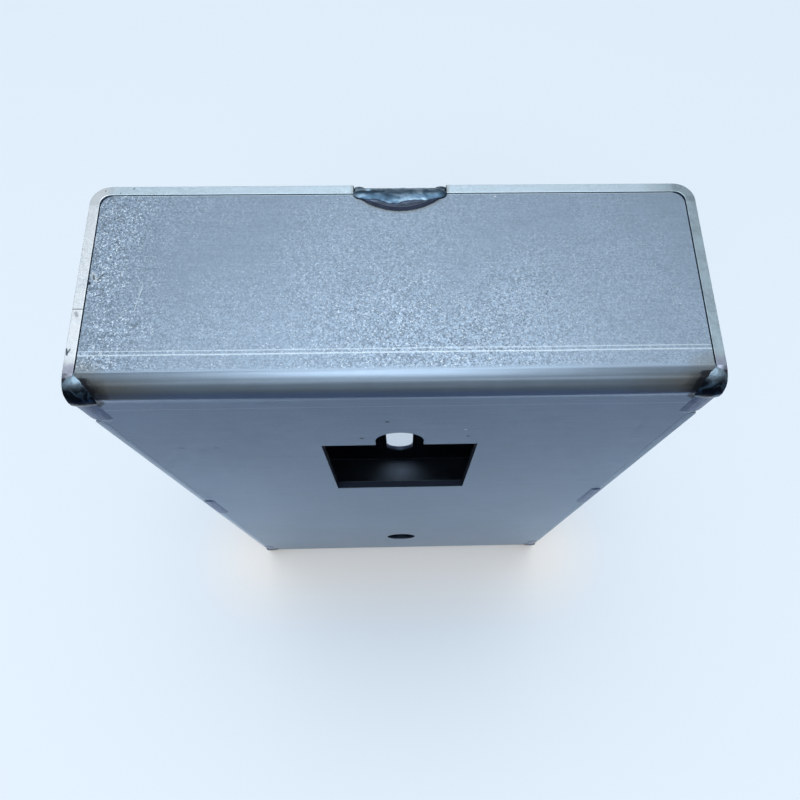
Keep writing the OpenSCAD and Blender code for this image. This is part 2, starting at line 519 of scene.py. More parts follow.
@dataclass(frozen=True)
class HeatTint:
    """The oxide colours that each weld has burnt into the sheets around it, and a painted shadow on the bend beside
    each corner weld.
    """

    form: BoxForm
    ball_radius: float = 3.94
    ball_in: float = 1.8
    ball_stretch: float = 1.6
    crown: float = 0.5
    root: float = 1.0
    end_shift: float = 0.9
    end_width: float = 18.4
    end_reach: float = 6.2
    # This dark colour draws both the real soot line round each weld and the painted shadow on the bends.
    soot_and_shadow: Colour = (0.022, 0.026, 0.036)
    violet: Colour = (0.24, 0.26, 0.37)
    olive: Colour = (0.200, 0.190, 0.150)
    waver_size: float = 1.4
    waver: float = 0.9
    end_face_gap: float = 0.35
    puddle_fall: float = 2.4
    puddle_waver: float = 0.6
    bend_glow: Span = (9.0, 0.5)
    bend_glow_share: float = 0.55
    halo: Span = (2.2, 0.5)
    halo_share: float = 0.38
    violet_band: Span = (1.6, 0.5)
    violet_share: float = 0.7
    bend_shadow: Span = (1.5, 0.2)
    bend_shadow_share: float = 0.75
    soot_line: Span = (0.5, 0.15)
    soot_share: float = 0.85

    def from_ball(self, nodes: NodeWriter, place: Value) -> bpy.types.NodeSocket:
        """Gives how far a place lies beyond the nearest corner weld, in millimetres.

        Args:
            nodes: The material's writer.
            place: The place in millimetres.

        Returns:
            The distance, which is negative under the weld.
        """
        form = self.form
        x, y, _ = nodes.parts(place)
        folded = nodes.point(
            nodes.math("DIVIDE", nodes.math("ABSOLUTE", x), self.ball_stretch), y, nodes.from_mid(place, form))
        centre = (
            (form.half_width - self.ball_in) / self.ball_stretch,
            form.front_y + self.ball_radius - self.crown,
            form.half_length - form.bend_out,
        )
        return nodes.math("SUBTRACT", nodes.vector("DISTANCE", folded, centre), self.ball_radius)

    def from_end(self, nodes: NodeWriter, place: Value) -> bpy.types.NodeSocket:
        """Gives how far a place lies beyond the D-shaped end weld, in millimetres.

        Args:
            nodes: The material's writer.
            place: The place in millimetres.

        Returns:
            The distance, which is negative under the weld.
        """
        form = self.form
        sag = self.end_reach - form.sheet_t
        plan_r = (self.end_width ** 2 / 4 + sag * sag) / (2 * sag)
        x, y, _ = nodes.parts(place)
        centre = (self.end_shift, form.back_y - self.end_reach + plan_r, 0.0)
        round_edge = nodes.math("SUBTRACT", nodes.vector("DISTANCE", nodes.point(x, y, 0.0), centre), plan_r)
        sideways = nodes.math("ABSOLUTE", nodes.math("SUBTRACT", x, self.end_shift))
        straight_edge = nodes.math("SUBTRACT", sideways, self.end_width / 2)
        below = nodes.math("SUBTRACT", form.half_length - self.root, nodes.from_mid(place, form))
        return nodes.math("MAXIMUM", nodes.math("MAXIMUM", round_edge, straight_edge), below)

    def burn(self, nodes: NodeWriter, place: Value, colour: Value) -> bpy.types.NodeSocket:
        """Lays the oxide colours over a steel colour.

        Args:
            nodes: The material's writer.
            place: The place in millimetres.
            colour: The colour of the clean steel.

        Returns:
            The tinted colour.
        """
        form = self.form
        wave = nodes.math("SUBTRACT", nodes.noise(place, self.waver_size, 3.0), 0.5)
        waver = nodes.math("MULTIPLY", wave, self.waver)
        on_end = nodes.math("GREATER_THAN", nodes.from_mid(place, form), form.half_length - 0.12)
        ball = nodes.math("ADD", self.from_ball(nodes, place), waver)
        ball = nodes.math("MULTIPLY_ADD", on_end, self.end_face_gap, ball)
        puddle_waver = nodes.math("MULTIPLY", waver, self.puddle_waver)
        end = nodes.math("MULTIPLY_ADD", self.from_end(nodes, place), self.puddle_fall, puddle_waver)
        away = nodes.math("MINIMUM", ball, end)
        x, y, _ = nodes.parts(place)
        bend_end = form.front_y + form.bend_out
        off_front = nodes.math("GREATER_THAN", y, form.front_y + 0.1)
        on_bend = nodes.math("MULTIPLY", nodes.ease(y, bend_end - 0.5, bend_end - 2.5), off_front)
        on_rim = nodes.math("GREATER_THAN", nodes.math("ABSOLUTE", x), form.cover_x - 0.1)
        everywhere = 1.0
        layers = (
            (ball, self.bend_glow, self.bend_glow_share, on_bend, self.olive),
            (away, self.halo, self.halo_share, off_front, self.olive),
            (ball, self.violet_band, self.violet_share, on_rim, self.violet),
            # Painted shadow: the bend right beside each corner weld is darkened with the soot colour.
            (ball, self.bend_shadow, self.bend_shadow_share, on_bend, self.soot_and_shadow),
            (away, self.soot_line, self.soot_share, everywhere, self.soot_and_shadow),
        )
        for distance, span, share, where, tint in layers:
            strength = nodes.math("MULTIPLY", nodes.ease(distance, *span), share)
            colour = nodes.blend(nodes.math("MULTIPLY", strength, where), colour, tint)
        return colour


@dataclass(frozen=True)
class SurfaceMark:
    """A scratch, pit or speck on a sheet, as a soft-ended stroke between two places."""

    start: Place
    end: Place
    width: float = 0.4
    strength: float = 0.7
    bright: bool = False

    def lay(self, nodes: NodeWriter, place: Value, colour: Value) -> bpy.types.NodeSocket:
        """Lays the mark over a colour.

        Args:
            nodes: The material's writer.
            place: The place in millimetres.
            colour: The colour without the mark.

        Returns:
            The colour with the mark.
        """
        tone = MARK_BRIGHT if self.bright else MARK_DARK
        run = Vector(self.end) - Vector(self.start)
        offset = nodes.vector("SUBTRACT", place, self.start)
        if run.length > 0:
            share = nodes.math("MULTIPLY", nodes.vector("DOT_PRODUCT", offset, tuple(run)), 1 / run.length_squared,
                               clamp=True)
            offset = nodes.vector("SUBTRACT", offset, nodes.shade(tuple(run), share))
        near = nodes.ease(nodes.vector("LENGTH", offset), self.width / 2, self.width / 6)
        return nodes.blend(nodes.math("MULTIPLY", near, self.strength), colour, tone)


class SheetSteel(ABC):
    """Bare sheet steel with a fine crystalline grain, brighter where it was cut."""

    steel: Colour = (0.268, 0.350, 0.450)
    painted_glint: Colour = (0.74, 0.84, 0.92)
    cut_steel: Colour = (0.53, 0.66, 0.76)
    bright_line: Colour = (0.57, 0.68, 0.77)
    # Painted shade: this near-black colour is laid over the inner side of the sheets and over the walls of their
    # openings, standing for the shade inside the box.
    scale: Colour = (0.036, 0.050, 0.082)
    grain_size: float = 0.24
    facet_size: float = 0.26
    speck_size: float = 0.36
    mottle_size: float = 3.6
    cloud_size: float = 30.0
    hair_stretch: Place = (0.12, 5.0, 5.0)
    base_tone: float = 0.67
    cloud_share: float = 0.24
    mottle_share: float = 0.12
    hair_share: float = 0.30
    speck_share: float = 0.62
    glint_share: float = 0.85
    inner_shade_share: float = 0.75
    facet_lean: float = 0.16
    line_in: float = 7.75
    marks: tuple[SurfaceMark, ...] = ()

    def __init__(self, form: BoxForm) -> None:
        """Keeps the box's planes for the patterns.

        Args:
            form: The form of the box.
        """
        self.form = form

    @abstractmethod
    def cut_edges(self, nodes: NodeWriter, place: Value) -> bpy.types.NodeSocket:
        """Gives 1 on the sheet's bright cut edges and 0 on its faces.

        Args:
            nodes: The material's writer.
            place: The place in millimetres.

        Returns:
            The mask.
        """

    @abstractmethod
    def opening_walls(self, nodes: NodeWriter, place: Value) -> bpy.types.NodeSocket:
        """Gives 1 on the walls of the sheet's openings, which are painted dark as shade.

        Args:
            nodes: The material's writer.
            place: The place in millimetres.

        Returns:
            The mask.
        """

    @abstractmethod
    def bends(self, nodes: NodeWriter, place: Value) -> bpy.types.NodeSocket:
        """Gives 1 on the outside of the sheet's bends, where drawing has smoothed the grain.

        Args:
            nodes: The material's writer.
            place: The place in millimetres.

        Returns:
            The mask.
        """

    @abstractmethod
    def spangled(self, nodes: NodeWriter, place: Value) -> Value:
        """Gives how much of the crystalline grain and its painted glints shows, from 0 to 1.

        Args:
            nodes: The material's writer.
            place: The place in millimetres.

        Returns:
            The grain's share.
        """

    @abstractmethod
    def tool_marks(self, nodes: NodeWriter, place: Value) -> bpy.types.NodeSocket:
        """Gives the strength of the bright lines that the bending tools have left.

        Args:
            nodes: The material's writer.
            place: The place in millimetres.

        Returns:
            The lines' strength.
        """

    def edge_colour(self, nodes: NodeWriter, place: Value) -> bpy.types.NodeSocket:
        """Gives the colour of the cut edges, streaked through the sheet's thickness."""
        drag = nodes.noise(nodes.vector("MULTIPLY", place, (6.0, 6.0, 0.4)), 2.0, 3.0, 0.6)
        return nodes.shade(self.cut_steel, nodes.math("MULTIPLY_ADD", drag, 0.25, 0.88))

    def inside(self, nodes: NodeWriter, place: Value) -> bpy.types.NodeSocket:
        """Gives 1 on the sheet's inner side and 0 outside."""
        form = self.form
        x, y, _ = nodes.parts(place)
        depth = nodes.math("SUBTRACT", form.half_width, nodes.math("ABSOLUTE", x))
        depth = nodes.math("MINIMUM", depth, nodes.math("SUBTRACT", y, form.front_y))
        depth = nodes.math("MINIMUM", depth, nodes.math("SUBTRACT", form.back_y, y))
        depth = nodes.math("MINIMUM", depth, nodes.math("SUBTRACT", form.half_length, nodes.from_mid(place, form)))
        return nodes.math("GREATER_THAN", depth, form.sheet_t - 0.1)

    def at_level(self, nodes: NodeWriter, value: Value, level: float, margin: float = 0.12) -> bpy.types.NodeSocket:
        """Gives 1 where a value lies at a level.

        Args:
            nodes: The material's writer.
            value: The value to look at.
            level: The level.
            margin: How far from it still counts.

        Returns:
            The mask.
        """
        return nodes.math("COMPARE", value, level, margin)

    def hole_walls(self, nodes: NodeWriter, depth: Value, middle: float, facing: Value) -> bpy.types.NodeSocket:
        """Gives 1 on the walls of holes cut through a flat part of the sheet.

        Args:
            nodes: The material's writer.
            depth: The coordinate across the sheet.
            middle: That coordinate in the middle of the sheet.
            facing: The normal's component across the sheet.

        Returns:
            The mask.
        """
        within = nodes.math("COMPARE", depth, middle, self.form.sheet_t / 2 - 0.12)
        sideways = nodes.math("LESS_THAN", nodes.math("ABSOLUTE", facing), 0.5)
        return nodes.math("MULTIPLY", within, sideways)

    def material(self, name: str) -> bpy.types.Material:
        """Builds the material.

        Args:
            name: Its name.

        Returns:
            The material.
        """
        material = bpy.data.materials.new(name)
        material.use_nodes = True
        nodes = NodeWriter(material.node_tree)
        place = nodes.place()
        grain = nodes.noise(place, self.grain_size, 3.0, 0.65)
        facets = nodes.cells(place, self.facet_size, "Color")
        clouds = nodes.noise(place, self.cloud_size, 3.0, 0.55)
        mottle = nodes.noise(place, self.mottle_size, 3.0, 0.6)
        cut = self.cut_edges(nodes, place)
        flat = nodes.math("SUBTRACT", 1.0, self.bends(nodes, place))

        spangle = nodes.math("MULTIPLY", self.spangled(nodes, place), flat)
        patches = nodes.math("MULTIPLY_ADD", nodes.ease(clouds, 0.35, 0.62), 0.6, 0.4)
        patchy = nodes.math("MULTIPLY", spangle, patches)
        speck = nodes.ease(nodes.noise(place, self.speck_size, 2.0, 0.7), 0.36, 0.64)
        speck = nodes.math("MULTIPLY", nodes.math("SUBTRACT", speck, 0.5), patchy)
        hairs = nodes.noise(nodes.vector("MULTIPLY", place, self.hair_stretch), 1.2, 3.0, 0.6)
        tone = nodes.math("MULTIPLY", mottle, self.mottle_share)
        tone = nodes.math("MULTIPLY_ADD", clouds, self.cloud_share, tone)
        tone = nodes.math("MULTIPLY_ADD", hairs, self.hair_share, tone)
        tone = nodes.math("MULTIPLY_ADD", speck, self.speck_share, tone)
        face = nodes.shade(self.steel, nodes.math("ADD", tone, self.base_tone))
        # Painted highlight: bright glints on single grain cells, standing for light flashing off the crystals.
        glint = nodes.parts(facets)[0]
        sparkle = nodes.math("MULTIPLY", nodes.ease(glint, 0.74, 1.0), nodes.ease(grain, 0.40, 0.62))
        sparkle = nodes.math("MULTIPLY", sparkle, patchy)
        face = nodes.blend(nodes.math("MULTIPLY", sparkle, self.glint_share), face, self.painted_glint)
        face = nodes.blend(self.tool_marks(nodes, place), face, self.bright_line)

        # Painted shade: the inner side of each sheet is darkened towards the near-black colour, as the inside of the
        # box lies in shade.
        inner = nodes.math("MULTIPLY", self.inside(nodes, place), self.inner_shade_share)
        face = nodes.blend(inner, face, self.scale)
        colour = nodes.blend(cut, face, self.edge_colour(nodes, place))
        # Painted shade: the walls of the openings are darkened to the same near-black colour.
        walls = self.opening_walls(nodes, place)
        colour = nodes.blend(walls, colour, self.scale)
        for mark in self.marks:
            colour = mark.lay(nodes, place, colour)
        colour = HeatTint(self.form).burn(nodes, place, colour)

        rough = nodes.math("MULTIPLY_ADD", mottle, 0.14, 0.28)
        rough = nodes.math("MULTIPLY_ADD", nodes.math("SUBTRACT", flat, cut), 0.12, rough)
        lean = nodes.vector("SUBTRACT", facets, (0.5, 0.5, 0.5))
        lean = nodes.shade(lean, nodes.math("MULTIPLY", patchy, self.facet_lean))
        own = nodes.add("ShaderNodeNewGeometry").outputs["Normal"]
        facing = nodes.vector("NORMALIZE", nodes.vector("ADD", own, lean))
        nodes.metal(colour, rough, nodes.bump(grain, 0.010, 0.5, facing))
        return material


class ChannelSteel(SheetSteel):
    """The steel of the body channel."""

    painted_shaded_edge: Colour = (0.36, 0.46, 0.53)
    painted_lit_edge: Colour = (0.76, 0.81, 0.86)
    marks = (
        SurfaceMark((-59.9, -5.0, 175.5), (-58.1, -5.0, 175.5), 0.3, 0.8),
        SurfaceMark((-59.2, -5.8, 175.5), (-58.9, -6.4, 175.5), 0.9, 0.45),
        SurfaceMark((-59.8, -13.2, 175.5), (-59.6, -14.3, 175.5), 0.5, 0.9),
        SurfaceMark((-59.2, -13.3, 175.5), (-59.5, -13.9, 175.5), 0.5, 0.8),
        SurfaceMark((-57.2, 21.5, 175.5), (-57.2, 21.5, 175.5), 0.5, 0.6),
        SurfaceMark((-54.2, 20.9, 175.5), (-54.2, 20.9, 175.5), 0.45, 0.6),
        SurfaceMark((-51.7, 22.0, 175.5), (-51.7, 22.0, 175.5), 0.5, 0.6),
    )

    def cut_edges(self, nodes: NodeWriter, place: Value) -> bpy.types.NodeSocket:
        """Gives 1 on the channel's two ends and rises from its front seam to its outer front edge."""
        x, y, _ = nodes.parts(place)
        ends = self.at_level(nodes, nodes.from_mid(place, self.form), self.form.half_length)
        front = self.at_level(nodes, y, self.form.front_y)
        # Painted sheen: the flanges' front cut edges brighten towards their outer side, standing for a slightly
        # rounded edge that catches more light.
        outward = nodes.ease(nodes.math("ABSOLUTE", x), self.form.cover_x + 0.2, self.form.half_width - 0.4)
        front = nodes.math("MULTIPLY", nodes.math("MULTIPLY", front, outward), 0.45)
        return nodes.math("MAXIMUM", ends, front)

    def edge_colour(self, nodes: NodeWriter, place: Value) -> bpy.types.NodeSocket:
        """Gives the colour of the cut edges, which are painted brighter on the left as light and dull on the right as
        shade, and are patchy on the right.
        """
        x = nodes.parts(place)[0]
        half = self.form.half_width
        worn = nodes.ease(nodes.noise(place, 2.6, 4.0, 0.7), 0.35, 0.7)
        # Painted light on the left edges and painted shade on the right ones; the patchiness is the edges' own.
        left = nodes.blend(nodes.math("MULTIPLY", worn, 0.35), self.painted_lit_edge, self.cut_steel)
        right = nodes.blend(worn, self.painted_shaded_edge, nodes.shade(self.painted_shaded_edge, 0.72))
        colour = nodes.blend(nodes.ease(x, 6.0 - half, 2.5 - half), super().edge_colour(nodes, place), left)
        return nodes.blend(nodes.ease(x, half - 12.0, half - 2.5), colour, right)

    def opening_walls(self, nodes: NodeWriter, place: Value) -> bpy.types.NodeSocket:
        """Gives 1 on the walls of the back slots and of the latch hole."""
        x, y, _ = nodes.parts(place)
        normal_x, normal_y, _ = nodes.parts(nodes.add("ShaderNodeNewGeometry").outputs["Normal"])
        back_holes = self.hole_walls(nodes, y, self.form.back_y - self.form.sheet_t / 2, normal_y)
        inside = nodes.math("LESS_THAN", nodes.math("ABSOLUTE", x), self.form.half_width - self.form.bend_out)
        side_hole = self.hole_walls(nodes, x, self.form.half_width - self.form.sheet_t / 2, normal_x)
        between = nodes.math("COMPARE", y, 0.0, self.form.back_y - self.form.bend_out)
        walls = nodes.math("MAXIMUM", nodes.math("MULTIPLY", back_holes, inside),
                           nodes.math("MULTIPLY", side_hole, between))
        off_end = nodes.math("LESS_THAN", nodes.from_mid(place, self.form), self.form.half_length - 1.5)
        return nodes.math("MULTIPLY", walls, off_end)

    def bends(self, nodes: NodeWriter, place: Value) -> bpy.types.NodeSocket:
        """Gives 1 on the two upright bends between the back and the flanges."""
        x, y, _ = nodes.parts(place)
        out = self.form.bend_out
        sideways = nodes.ease(nodes.math("ABSOLUTE", x), self.form.half_width - out - 0.8, self.form.half_width - out)
        return nodes.math("MULTIPLY", sideways, nodes.ease(y, self.form.back_y - out - 0.8, self.form.back_y - out))

    def spangled(self, nodes: NodeWriter, place: Value) -> Value:
        """Gives the same share of grain on the back and the flanges."""
        return 0.5

    def tool_marks(self, nodes: NodeWriter, place: Value) -> bpy.types.NodeSocket:
        """Gives the faint line on the back and flanges beside each bend."""
        x, y, _ = nodes.parts(place)
        on_back = nodes.line(nodes.math("ABSOLUTE", x), self.form.half_width - self.line_in, 0.35)
        on_flange = nodes.line(y, self.form.back_y - self.line_in, 0.35)
        broken = nodes.ease(nodes.noise(place, 5.0, 2.0), 0.35, 0.6)
        return nodes.math("MULTIPLY", nodes.math("MULTIPLY", nodes.math("MAXIMUM", on_back, on_flange), broken), 0.35)


class CoverSteel(SheetSteel):
    """The steel of the cover."""

    marks = (
        SurfaceMark((-47.6, -0.1, 175.5), (-48.6, -5.4, 175.5), 0.26, 0.6, bright=True),
        SurfaceMark((-48.2, -8.8, 175.5), (-48.0, -8.6, 175.5), 1.1, 0.4),
        SurfaceMark((19.7, 19.6, 175.5), (19.9, 19.6, 175.5), 0.45, 0.9, bright=True),
        SurfaceMark((28.1, -2.9, 175.5), (28.5, -2.0, 175.5), 0.26, 0.6),
        SurfaceMark((-57.2, 2.4, 175.5), (-56.4, 1.2, 175.5), 1.5, 0.55, bright=True),
        SurfaceMark((-57.6, 0.6, 175.5), (-57.5, 0.3, 175.5), 0.7, 0.95),
        SurfaceMark((-57.0, 2.1, 175.5), (-56.8, 1.3, 175.5), 0.5, 0.8),
        SurfaceMark((-56.1, 1.2, 175.5), (-55.2, 2.4, 175.5), 0.5, 0.7),
        SurfaceMark((-2.6, -22.0, 159.6), (-2.3, -22.0, 159.7), 0.9, 0.95),
        SurfaceMark((-8.4, -22.0, 150.0), (-8.1, -22.0, 149.8), 0.9, 0.95),
        SurfaceMark((14.9, -22.0, 150.4), (15.1, -22.0, 150.4), 0.8, 0.95),
        SurfaceMark((14.0, -22.0, 154.5), (14.1, -22.0, 154.5), 0.8, 0.95, bright=True),
        SurfaceMark((-49.3, -22.0, 145.4), (-48.6, -22.0, 145.2), 1.2, 0.35),
        SurfaceMark((-41.6, -22.0, 145.0), (-41.0, -22.0, 145.1), 1.0, 0.35),
        SurfaceMark((-17.7, -22.0, 133.3), (-17.5, -22.0, 133.4), 0.8, 0.8, bright=True),
    )

    def cut_edges(self, nodes: NodeWriter, place: Value) -> bpy.types.NodeSocket:
        """Gives 1 on the cover's outline."""
        x, y, _ = nodes.parts(place)
        normal_x = nodes.parts(nodes.add("ShaderNodeNewGeometry").outputs["Normal"])[0]
        sideways = nodes.math("GREATER_THAN", nodes.math("ABSOLUTE", normal_x), 0.5)
        long_edges = nodes.math("GREATER_THAN", nodes.math("ABSOLUTE", x), self.form.cover_x - 0.4)
        long_edges = nodes.math("MULTIPLY", long_edges, sideways)
        return nodes.math("MAXIMUM", long_edges, self.at_level(nodes, y, self.form.flap_y))

    def opening_walls(self, nodes: NodeWriter, place: Value) -> bpy.types.NodeSocket:
        """Gives 1 on the walls of the openings in the front."""
        x, y, _ = nodes.parts(place)
        normal_y = nodes.parts(nodes.add("ShaderNodeNewGeometry").outputs["Normal"])[1]
        walls = self.hole_walls(nodes, y, self.form.front_y + self.form.sheet_t / 2, normal_y)
        within = nodes.math("LESS_THAN", nodes.math("ABSOLUTE", x), self.form.cover_x - 1.0)
        flat = nodes.math("LESS_THAN", nodes.from_mid(place, self.form), self.form.half_length - self.form.bend_out)
        return nodes.math("MULTIPLY", walls, nodes.math("MULTIPLY", within, flat))

    def bends(self, nodes: NodeWriter, place: Value) -> bpy.types.NodeSocket:
        """Gives 1 on the two bends between the front and the end flaps."""
        y = nodes.parts(place)[1]
        out = self.form.bend_out
        forward = nodes.ease(y, self.form.front_y + out + 0.8, self.form.front_y + out)
        end = self.form.half_length - out
        return nodes.math("MULTIPLY", forward, nodes.ease(nodes.from_mid(place, self.form), end - 0.8, end))

    def spangled(self, nodes: NodeWriter, place: Value) -> Value:
        """Gives most grain, and with it most painted glints, on the left and middle of the end flaps, a spread set by
        where light fell, and little on the brushed front.
        """
        on_flap = nodes.math("GREATER_THAN", nodes.from_mid(place, self.form), self.form.half_length - 2.5)
        x, y, _ = nodes.parts(place)
        left = nodes.line(x, -56.0, 30.0)
        middle = nodes.math("MULTIPLY", nodes.line(x, 8.0, 70.0), nodes.ease(y, 16.0, -8.0))
        share = nodes.math("MULTIPLY_ADD", nodes.math("MAXIMUM", left, middle), 0.95, 0.40)
        return nodes.math("MULTIPLY_ADD", nodes.math("MULTIPLY", on_flap, share), 0.90, 0.10)

    def tool_marks(self, nodes: NodeWriter, place: Value) -> bpy.types.NodeSocket:
        """Gives the double line on each flap and the single one on the front."""
        y = nodes.parts(place)[1]
        from_mid = nodes.from_mid(place, self.form)
        wander = nodes.math("MULTIPLY", nodes.math("SUBTRACT", nodes.noise(place, 18.0, 1.0), 0.5), 0.25)
        on_flap = nodes.math("GREATER_THAN", from_mid, self.form.half_length - 0.2)
        across = nodes.math("ADD", nodes.math("SUBTRACT", y, self.form.front_y), wander)
        near_line = nodes.line(across, 7.41, 0.5)
        far_line = nodes.math("MULTIPLY", nodes.line(across, 8.2, 0.42), 0.7)
        flap_lines = nodes.math("MULTIPLY", on_flap, nodes.math("MAXIMUM", near_line, far_line))
        along = nodes.math("ADD", nodes.math("SUBTRACT", self.form.half_length, from_mid), wander)
        on_front = nodes.math("LESS_THAN", y, self.form.front_y + 0.2)
        front_line = nodes.math("MULTIPLY", nodes.line(along, self.line_in, 0.35), 0.5)
        front_line = nodes.math("MULTIPLY", on_front, front_line)
        speckled = nodes.ease(nodes.noise(place, 0.5, 2.0), 0.10, 0.48)
        return nodes.math("MULTIPLY", nodes.math("MAXIMUM", flap_lines, front_line), speckled)


@dataclass(frozen=True)
class WeldMetal(ABC):
    """Weld metal, whose skin differs from weld to weld."""

    form: BoxForm
    dark: Colour = (0.010, 0.016, 0.028)
    blue: Colour = (0.065, 0.120, 0.185)
    # Painted highlight: the pale colour is laid where the welds' glossy skin would catch light.
    pale: Colour = (0.29, 0.40, 0.50)
    roughness: float = 0.15

    @abstractmethod
    def skin(self, nodes: NodeWriter, place: Value) -> bpy.types.NodeSocket:
        """Gives the colour of the weld's skin.

        Args:
            nodes: The material's writer.
            place: The place in millimetres.

        Returns:
            The colour.
        """

    def material(self, name: str) -> bpy.types.Material:
        """Builds the material.

        Args:
            name: Its name.

        Returns:
            The material.
        """
        material = bpy.data.materials.new(name)
        material.use_nodes = True
        nodes = NodeWriter(material.node_tree)
        place = nodes.place()
        fine = nodes.noise(place, 0.35, 2.0, 0.6)
        rough = nodes.math("MULTIPLY_ADD", fine, 0.14, self.roughness)
        nodes.metal(self.skin(nodes, place), rough, nodes.bump(fine, 0.012, 0.5))
        return material


@dataclass(frozen=True)
class PuddleMetal(WeldMetal):
    """The glossy ridge of an end weld on its dull, dark fringe."""

    fringe: Colour = (0.032, 0.040, 0.068)
    ridge_reach: float = 3.2

    def skin(self, nodes: NodeWriter, place: Value) -> bpy.types.NodeSocket:
        """Gives a steel-blue ridge with painted pale highlights, and a navy fringe with a faint painted highlight
        line and a dark edge.
        """
        swirl = nodes.noise(nodes.vector("MULTIPLY", place, (0.45, 1.0, 1.0)), 1.7, 2.0, 0.5, 0.5)
        ridge = nodes.blend(nodes.ease(swirl, 0.25, 0.50), nodes.shade(self.blue, 0.55), self.blue)
        # Painted highlight: pale swirls stretched along the ridge.
        ridge = nodes.blend(nodes.math("MULTIPLY", nodes.ease(swirl, 0.42, 0.66), 0.75), ridge, self.pale)
        inward = HeatTint(self.form).from_end(nodes, place)
        # Painted highlight: a faint pale line along the fringe's rounded edge.
        fringe = nodes.blend(nodes.math("MULTIPLY", nodes.line(inward, -0.95, 0.35), 0.25), self.fringe, self.pale)
        fringe = nodes.blend(nodes.ease(inward, -0.45, -0.2), fringe, self.dark)
        raised = nodes.math("SUBTRACT", nodes.from_mid(place, self.form), self.form.half_length)
        fringe = nodes.blend(nodes.line(raised, 0.12, 0.12), fringe, self.dark)
        behind = nodes.math("SUBTRACT", self.form.back_y, nodes.parts(place)[1])
        flat = nodes.math("MULTIPLY", nodes.ease(raised, 0.20, 0.10),
                          nodes.ease(behind, self.ridge_reach - 0.5, self.ridge_reach))
        return nodes.blend(flat, ridge, fringe)


@dataclass(frozen=True)
class BallMetal(WeldMetal):
    """The glossy skin of a corner weld, dark navy below, with a painted pale highlight above and a painted steel-blue
    sheen at its side.
    """

    def skin(self, nodes: NodeWriter, place: Value) -> bpy.types.NodeSocket:
        """Gives the colour by height, with a painted highlight above a wavering border, and a painted steel-blue
        sheen on the flank.
        """
        swirl = nodes.noise(place, 1.8, 2.0, 0.5, 0.6)
        lower = nodes.blend(nodes.ease(swirl, 0.45, 0.65), self.dark, self.blue)
        # Painted sheen: the surfaces that face sideways are made a lighter steel-blue.
        sideways = nodes.math("ABSOLUTE", nodes.parts(nodes.add("ShaderNodeNewGeometry").outputs["Normal"])[0])
        flank = nodes.blend(nodes.ease(swirl, 0.35, 0.65), nodes.shade(self.blue, 1.2), self.pale)
        lower = nodes.blend(nodes.math("MULTIPLY", nodes.ease(sideways, 0.75, 0.97), 0.8), lower, flank)
        # Painted highlight: the upper part of each ball is turned pale.
        level = nodes.math("MULTIPLY_ADD", swirl, 1.2, nodes.from_mid(place, self.form))
        end = self.form.half_length
        return nodes.blend(nodes.math("MULTIPLY", nodes.ease(level, end - 0.7, end + 0.5), 0.65), lower, self.pale)


@dataclass(frozen=True)
class GroundMetal(WeldMetal):
    """The brushed metal of a bead that is ground nearly flush."""

    brushed: Colour = (0.185, 0.235, 0.335)
    roughness: float = 0.34

    def skin(self, nodes: NodeWriter, place: Value) -> bpy.types.NodeSocket:
        """Gives steel that is streaked along the seam."""
        drag = nodes.noise(nodes.vector("MULTIPLY", place, (5.0, 5.0, 0.6)), 1.6, 3.0, 0.6)
        return nodes.shade(self.brushed, nodes.math("MULTIPLY_ADD", drag, 1.4, 0.35))


class Ripple:
    """A wave or roughness pressed into a weld's surface with a procedural texture."""

    @staticmethod
    def clouds(piece: bpy.types.Object, size: float, height: float) -> None:
        """Presses soft lumps into a piece.

        Args:
            piece: The object, in millimetres.
            size: The size of the lumps.
            height: The height from the lowest to the highest.
        """
        texture = bpy.data.textures.new("lumps", "CLOUDS")
        texture.noise_scale = size
        Bench.modify(piece, "DISPLACE", texture=texture, strength=height, mid_level=0.5,
                     texture_coords="GLOBAL")
        bpy.data.textures.remove(texture)


@dataclass
class WeldBead(ABC):
    """One weld bead, modelled over its seam in place of its plain solid."""

    node: str
    form: BoxForm
    low: Vector = field(init=False)
    high: Vector = field(init=False)
    grid: float = 0.13
    root: float = 1.0
    film: float = 0.02

    def __post_init__(self) -> None:
        """Reads the bead's own box from the frame, in millimetres."""
        self.low, self.high = (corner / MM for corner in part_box(self.node))

    @abstractmethod
    def shape(self) -> bpy.types.Object:
        """Models the bead.

        Returns:
            The piece, in millimetres and in its place.
        """

    def core(self) -> bpy.types.Object:
        """Makes the rounded inside of the box down to which the welds run.

        Returns:
            The tool that is cut out of a bead.
        """
        form = self.form
        inset = Vector((form.sheet_t, self.root, self.root))
        low = Vector((-form.half_width, form.front_y, form.low_z)) + inset
        high = Vector((form.half_width, form.back_y, form.high_z)) - inset
        core = Bench.block(low, high)
        Bench.modify(core, "BEVEL", width=form.bend_out - self.root, segments=8, limit_method="ANGLE")
        return core

    def seat(self, piece: bpy.types.Object) -> None:
        """Cuts a bead to the seam it fills and to the outer planes of the box.

        Args:
            piece: The bead, in millimetres.
        """
        Bench.take_away(piece, self.core())
        side = self.form.half_width + self.film
        Bench.cut(piece, (side, 0, 0), (1, 0, 0))
        Bench.cut(piece, (-side, 0, 0), (-1, 0, 0))

    def build(self, finish: bpy.types.Material) -> bpy.types.Object:
        """Models, settles and dresses the bead.

        Args:
            finish: The bead's material.

        Returns:
            The finished piece.
        """
        piece = self.shape()
        Bench.settle(piece, f"bead_{self.node.removeprefix('weld_')}")
        piece.data.materials.clear()
        piece.data.materials.append(finish)
        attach(piece, BODY)
        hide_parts(self.node)
        LOG.info("%s: %d faces", piece.name, len(piece.data.polygons))
        return piece


